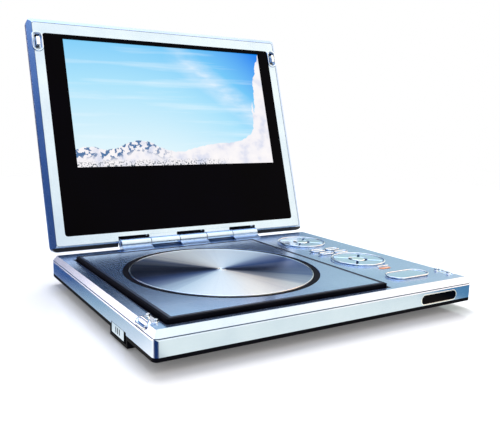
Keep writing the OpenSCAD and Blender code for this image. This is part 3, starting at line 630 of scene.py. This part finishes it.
def rod(bm, start, end, radius, sides=10):
    """A straight bead with round ends."""
    along = (end - start).normalized()
    side = along.orthogonal().normalized()
    up = along.cross(side)
    shoulder, narrow = 0.7 * radius, 0.71 * radius
    tips = [bm.verts.new(start - along * radius), bm.verts.new(end + along * radius)]
    rings = [ring_verts(bm, place, side * size, up * size, sides)
             for place, size in ((start - along * shoulder, narrow), (start, radius),
                                 (end, radius), (end + along * shoulder, narrow))]
    for a, b in zip(rings, rings[1:]):
        bridge(bm, a, b)
    for k in range(sides):
        n = (k + 1) % sides
        bm.faces.new((rings[0][n], rings[0][k], tips[0]))
        bm.faces.new((rings[-1][k], rings[-1][n], tips[1]))


def slab(bm, x0, x1, v0, v1, w0, w1):
    """A thin plate on the screen lid: across in metres, up and out in millimetres."""
    c = [bm.verts.new(lid_point(x / MM, v, w))
         for x in (x0, x1) for v in (v0, v1) for w in (w0, w1)]
    for face in ((0, 1, 3, 2), (4, 6, 7, 5), (0, 4, 5, 1),
                 (2, 3, 7, 6), (0, 2, 6, 4), (1, 5, 7, 3)):
        bm.faces.new([c[i] for i in face])


def shell(bm, x0, x1, radii, degrees, toward, then, steps):
    """A curved plate round the hinge axis; its turn is from one direction to the next."""
    start, end = degrees
    turns = [math.radians(start + (end - start) * j / steps) for j in range(steps + 1)]
    ai, ao, bi, bo = [[bm.verts.new(Vector((x, HINGE.y, HINGE.z))
                                    + (toward * math.cos(a) + then * math.sin(a)) * r)
                       for a in turns] for x in (x0, x1) for r in radii]
    for j in range(steps):
        for p, q in ((ai, bi), (bo, ao), (ao, ai), (bi, bo)):
            bm.faces.new((p[j], p[j + 1], q[j + 1], q[j]))
    for j in (0, steps):
        bm.faces.new((ai[j], bi[j], bo[j], ao[j]))


APART = 0.001 * MM                             # points nearer than this are one


def loop(centre, half_x, half_y, corner, x_axis=ACROSS, y_axis=BEHIND, steps=9):
    """A rounded rectangle, or a pill or circle, as a list of points."""
    points = []
    for sx, sy, start in ((1, 1, 0), (-1, 1, 90), (-1, -1, 180), (1, -1, 270)):
        for k in range(steps):
            a = math.radians(start + 90 * k / (steps - 1))
            p = (centre + x_axis * (sx * (half_x - corner) + corner * math.cos(a))
                 + y_axis * (sy * (half_y - corner) + corner * math.sin(a)))
            if not points or (p - points[-1]).length > APART:
                points.append(p)
    if (points[0] - points[-1]).length < APART:
        points.pop()
    return points


def ring(centre, radius, steps, **axes):
    return loop(centre, radius, radius, radius, steps=steps, **axes)


def piece(name, bm, material, body):
    """Make a smooth piece that rides on a body."""
    bmesh.ops.recalc_face_normals(bm, faces=bm.faces)
    for f in bm.faces:
        f.smooth = True
    mesh = bpy.data.meshes.new(name)
    bm.to_mesh(mesh)
    bm.free()
    mesh.materials.append(MATERIALS[material])
    obj = link(bpy.data.objects.new(name, mesh))
    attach(obj, body)


def add_key_rims():
    """Bright beads round the two clusters and the other keys, and one beside the indicator."""
    bm = bmesh.new()
    for name in ("nav_ok", "play_mode"):
        c = middle(name)[0]
        tube(bm, ring(Vector((c.x, c.y, top_hi.z)), 15.85 * MM, 17), 0.5 * MM, 0.7)
    for name in ("setup_key", "display_key", "menu_key", "audio_key", "open_key"):
        c, lo, hi = middle(name)
        x, y = (hi.x - lo.x) / 2 + 0.5 * MM, (hi.y - lo.y) / 2 + 0.5 * MM
        tube(bm, loop(Vector((c.x, c.y, top_hi.z)), x, y, min(x, y) * 0.98), 0.4 * MM, 0.9)
    lo, hi = middle("indicator_lens")[1:]
    rod(bm, *(Vector((x, hi.y + 0.3 * MM, top_hi.z)) for x in (lo.x, hi.x)), 0.3 * MM)
    piece("key_rims", bm, "chrome_key", "base")


def add_key_marks():
    """A small dark dimple beside each small key."""
    bm = bmesh.new()
    for name in ("setup_key", "display_key", "menu_key", "audio_key"):
        c, lo, _ = middle(name)
        spot = Vector((lo.x - 1.6 * MM, c.y, top_hi.z))
        tube(bm, ring(spot, 0.4 * MM, 4), 0.3 * MM, 0.4, sides=8)
    piece("key_dimples", bm, "black_plastic", "base")


def add_keepers():
    """Bright rounded bubbles over the slope, clear of the closed screen lid's hooks."""
    lo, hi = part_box("catch_keepers")
    for side, label in ((-1, "left"), (1, "right")):
        centre = Vector((side * (top_hi.x - 2.2 * MM), (lo.y + hi.y) / 2, top_hi.z - 1.9 * MM))
        tilt = math.radians(42) * side
        down = Vector((math.cos(tilt), 0, -math.sin(tilt)))
        normal = Vector((math.sin(tilt), 0, math.cos(tilt)))
        bm = bmesh.new()
        tube(bm, loop(centre + normal * 0.1 * MM, 1.8 * MM, 5.0 * MM, 1.7 * MM, x_axis=down),
             0.75 * MM, 1.1, up=normal)
        tube(bm, loop(centre, 1.0 * MM, 3.3 * MM, 0.9 * MM, x_axis=down),
             0.9 * MM, 0.5, up=normal)
        piece("keeper_bubble_" + label, bm, "chrome_key", "base")


def add_latch_rims():
    """A raised rim round each of the screen lid's catches, with a shadow line at both its ends."""
    for label in ("left", "right"):
        c = middle("screen_catch_" + label)[0]
        u, v = c.x / MM, (c - HINGE).dot(UP) / MM + 0.4
        bm = bmesh.new()
        tube(bm, loop(lid_point(u, v, LID_FACE + 0.05), 3.1 * MM, 6.2 * MM, 2.8 * MM, y_axis=UP),
             0.6 * MM, 0.9, up=OUT)
        piece("latch_rim_" + label, bm, "silver_key", "screen")
        bm = bmesh.new()
        for end in (-4.6, 4.2):
            rod(bm, lid_point(u - 1.1, v + end, LID_FACE - 0.1),
                lid_point(u + 1.1, v + end, LID_FACE - 0.1), 0.3 * MM)
        piece("latch_shadow_" + label, bm, "black_plastic", "screen")


def add_insert_trim():
    """A fine bright edge round the insert, and two turned rings at its hub."""
    bm = bmesh.new()
    tube(bm, ring(DISC - ABOVE * 0.1 * MM, DISC_RADIUS - 0.3 * MM, 33), 0.3 * MM, 0.8)
    for radius in (2.4 * MM, 0.9 * MM):
        tube(bm, ring(DISC, radius, 9), 0.3 * MM, 0.5)
    piece("insert_trim", bm, "chrome_key", "disc_lid")


def add_window_rim():
    """A fine bright frame round the infrared window."""
    c, lo, hi = middle("ir_window")
    half_x, half_z = (hi.x - lo.x) / 2, (hi.z - lo.z) / 2
    bm = bmesh.new()
    front = Vector((c.x, top_lo.y + 0.1 * MM, c.z))
    tube(bm, loop(front, half_x + 0.3 * MM, half_z + 0.3 * MM, half_z + 0.2 * MM, y_axis=ABOVE),
         0.3 * MM, 0.6, up=-BEHIND)
    piece("window_rim", bm, "chrome_key", "base")


def add_slider_groove_shade():
    """Dark beads lying in the power slider's three finger grooves: painted shade in the grooves."""
    c, lo, _ = middle("power_slider")
    bm = bmesh.new()
    for k in (-1, 0, 1):
        groove = Vector((lo.x + 0.32 * MM, c.y + k * 2.2 * MM, c.z))
        rod(bm, groove - ABOVE * 1.0 * MM, groove + ABOVE * 1.0 * MM, 0.34 * MM)
    piece("slider_groove_shade", bm, "black_plastic", "power_slider")


def add_hinge_notch_shade():
    """Dark curved flaps of the screen lid behind the base's three knuckles: painted shade in the notch there."""
    bm = bmesh.new()
    for k in (0, 2, 4):
        x0 = barrel_lo.x + k * KNUCKLE + 0.2 * MM
        x1 = barrel_lo.x + (k + 1) * KNUCKLE - 0.2 * MM
        shell(bm, x0, x1, (3.7 * MM, 4.3 * MM), (-12, 70), UP, -OUT, 8)
        slab(bm, x0 + 0.1 * MM, x1 - 0.1 * MM, 2.9, 6.6, -4.9, -4.5)
    piece("hinge_notch_shade", bm, "black_plastic", "screen")


def add_hinge_troughs():
    """Dished liners in the base under the screen lid's two knuckles."""
    bm = bmesh.new()
    for k in (1, 3):
        x0, x1 = barrel_lo.x + k * KNUCKLE, barrel_lo.x + (k + 1) * KNUCKLE
        shell(bm, x0, x1, (3.6 * MM, 4.1 * MM), (-60, 30), -ABOVE, BEHIND, 10)
    piece("hinge_troughs", bm, "seam_blue", "base")


def add_seams():
    """The fine dark lines where the slopes meet the upright band, and round the bezel's face."""
    bm = bmesh.new()
    inset, depth = 0.14 * MM, (top_hi.y - top_lo.y) / 2
    tube(bm, loop(Vector((0, BASE_Y, top_hi.z - 4.0 * MM)), top_hi.x - inset, depth - inset,
                  2.4 * MM), 0.16 * MM)
    piece("base_seam", bm, "seam_blue", "base")
    lo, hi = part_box("screen_bezel")
    bm = bmesh.new()
    margin, steps = 3.2 * MM, 9
    face, half_v = lid_point(0, LID_MID, LID_FACE), LID_HALF * MM - margin
    outline = loop(face, hi.x - margin, half_v, 1.8 * MM, y_axis=UP, steps=steps)
    # the line stops on either side of the hinge
    foot, beside = face - UP * half_v, ACROSS * (barrel_hi.x + 1.2 * MM)
    outline = [foot + beside] + outline[-steps:] + outline[:-steps] + [foot - beside]
    tube(bm, outline, 0.14 * MM, up=OUT, closed=False)
    piece("bezel_seam", bm, "seam_blue", "screen")


MATERIALS = make_materials()
# black bands of painted shade: round the bay, along the plate's edge and along the screen lid's foot
OWN = {"base_top_cover": paint("silver_top", SILVER_LOW, SILVER_HIGH, painted_shade=bay_gap_shade),
       "disc_lid_plate": paint("silver_plate", SILVER_LOW, SILVER_HIGH, painted_shade=plate_edge_shade),
       "screen_bezel": paint("silver_bezel", SILVER_LOW, SILVER_HIGH, painted_shade=lid_foot_shade)}
make_camera()
make_stage()

for name, obj in NODES.items():
    finish_node(name, obj, OWN.get(name, MATERIALS[slots[name]]))
add_key_rims()
add_key_marks()
add_keepers()
add_latch_rims()
add_insert_trim()
add_window_rim()
add_slider_groove_shade()
add_hinge_notch_shade()
add_hinge_troughs()
add_seams()

bpy.context.view_layer.update()
